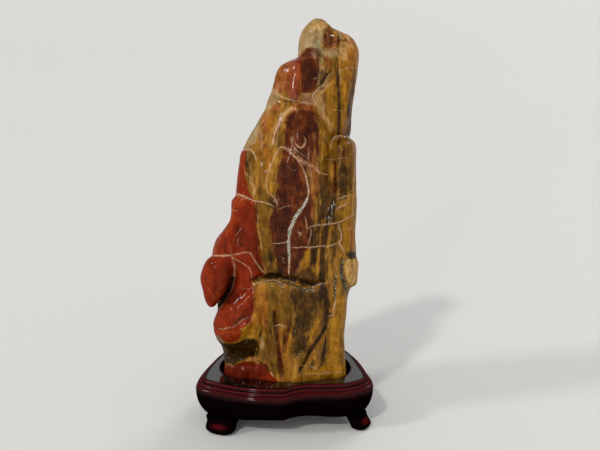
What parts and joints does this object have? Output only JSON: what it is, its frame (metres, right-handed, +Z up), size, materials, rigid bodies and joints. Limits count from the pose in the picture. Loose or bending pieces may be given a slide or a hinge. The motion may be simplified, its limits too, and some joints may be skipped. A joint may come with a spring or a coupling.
{
  "type": "scholars rock with stand",
  "caption": "Tall upright viewing stone of red, maroon and ochre jasper with white veins, seated in the socket of a low lacquered wooden stand with stepped mouldings and carved feet.",
  "frame": {"origin": "middle of the stand's outline, on the surface the feet stand on", "axes": "+Z up along the stone's height; the front, with the wavy edge of the stand, faces -Y; +X is to the right seen from the front"},
  "size_m": [0.2024, 0.1498, 0.4531],
  "materials": {
    "jasper": "gloss",
    "lacquered_wood": "gloss"
  },
  "bodies": {
    "root": {"rock": "jasper", "stand_body": "lacquered_wood", "foot_front_left": "lacquered_wood", "foot_front_right": "lacquered_wood", "foot_back_left": "lacquered_wood", "foot_back_right": "lacquered_wood"}
  },
  "joints": []
}
